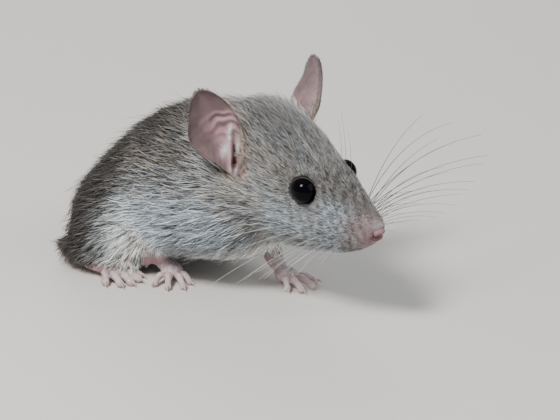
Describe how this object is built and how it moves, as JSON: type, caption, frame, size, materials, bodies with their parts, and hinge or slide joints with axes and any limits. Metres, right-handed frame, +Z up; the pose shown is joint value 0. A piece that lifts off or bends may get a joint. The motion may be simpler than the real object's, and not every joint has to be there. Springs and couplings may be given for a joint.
{
  "type": "young black rat",
  "caption": "Life-size young black rat model, crouched low with its head forward, large upright ears and its tail curled round beside it.",
  "frame": {"origin": "centre of the bounding box, at floor level under the paws", "axes": "+X ahead along the body towards the nose, +Y to the animal's left, +Z up"},
  "size_m": [0.098, 0.0818, 0.0475],
  "materials": {
    "coat_brown": "rough grizzled grey-brown fur",
    "coat_grey": "short grizzled grey fur",
    "bare_skin": "soft pink skin",
    "ear_skin": "thin dusky pink skin",
    "tail_skin": "finely ringed dark skin",
    "eye_black": "wet black gloss",
    "claw_horn": "pale translucent horn"
  },
  "bodies": {
    "root": {"head": "coat_grey", "neck": "coat_brown", "trunk": "coat_brown", "nose": "bare_skin", "eye_left": "eye_black", "ear_left": "ear_skin", "foreleg_left": "coat_brown", "forepaw_left": "bare_skin", "hind_leg_left": "coat_brown", "hind_foot_left": "bare_skin", "eye_right": "eye_black", "ear_right": "ear_skin", "foreleg_right": "coat_brown", "forepaw_right": "bare_skin", "hind_leg_right": "coat_brown", "hind_foot_right": "bare_skin", "tail_base": "tail_skin", "tail_middle": "tail_skin", "tail_tip": "tail_skin", "claw_fore_left_1": "claw_horn", "claw_fore_left_2": "claw_horn", "claw_fore_left_3": "claw_horn", "claw_fore_left_4": "claw_horn", "claw_hind_left_1": "claw_horn", "claw_hind_left_2": "claw_horn", "claw_hind_left_3": "claw_horn", "claw_hind_left_4": "claw_horn", "claw_hind_left_5": "claw_horn", "claw_fore_right_1": "claw_horn", "claw_fore_right_2": "claw_horn", "claw_fore_right_3": "claw_horn", "claw_fore_right_4": "claw_horn", "claw_hind_right_1": "claw_horn", "claw_hind_right_2": "claw_horn", "claw_hind_right_3": "claw_horn", "claw_hind_right_4": "claw_horn", "claw_hind_right_5": "claw_horn"}
  },
  "joints": []
}
